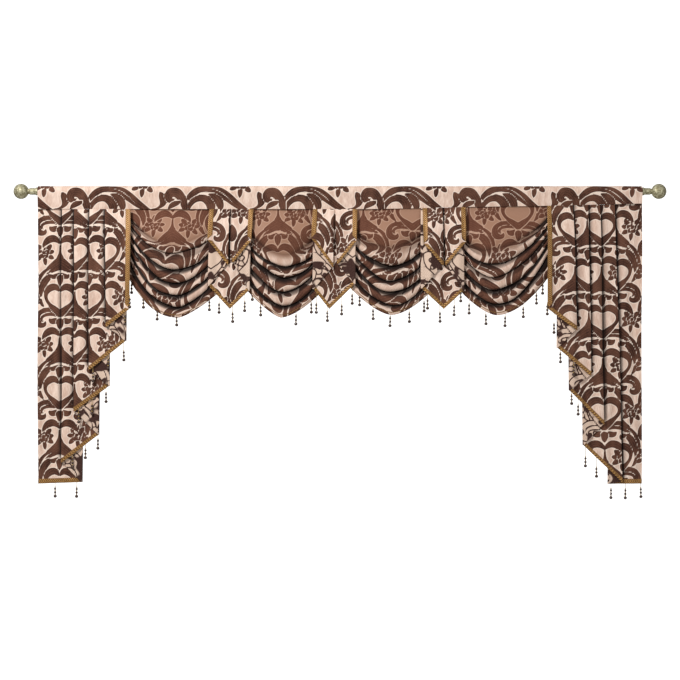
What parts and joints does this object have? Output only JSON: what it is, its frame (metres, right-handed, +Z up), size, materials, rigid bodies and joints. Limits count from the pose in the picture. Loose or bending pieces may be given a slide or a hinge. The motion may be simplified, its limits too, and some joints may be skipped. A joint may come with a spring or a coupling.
{
  "type": "waterfall valance on a curtain rod",
  "caption": "Swagged waterfall valance of brown and beige damask with cascade tails, jabots, gold braid and bead tassels, on a ball-ended rod.",
  "frame": {"origin": "on the rod's axis, at the middle of the rod", "axes": "+X along the rod, to the right as the face is seen; -Y out of the face; +Z up"},
  "size_m": [2.7024, 0.0946, 1.306],
  "materials": {
    "metal": "aged satin",
    "cloth": "woven damask, brown scrolls on pinkish beige",
    "braid": "gold gimp braid with dark bead tassels"
  },
  "bodies": {
    "root": {"rod": "metal", "finial_left": "metal", "finial_right": "metal", "heading": "cloth", "tail_left": "cloth", "tail_right": "cloth", "swag_1": "cloth", "swag_2": "cloth", "swag_3": "cloth", "swag_4": "cloth", "jabot_1": "cloth", "jabot_2": "cloth", "jabot_3": "cloth", "trim_tail_left": "braid", "trim_tail_right": "braid", "trim_swag_1": "braid", "trim_swag_2": "braid", "trim_swag_3": "braid", "trim_swag_4": "braid", "trim_jabot_1": "braid", "trim_jabot_2": "braid", "trim_jabot_3": "braid"}
  },
  "joints": []
}
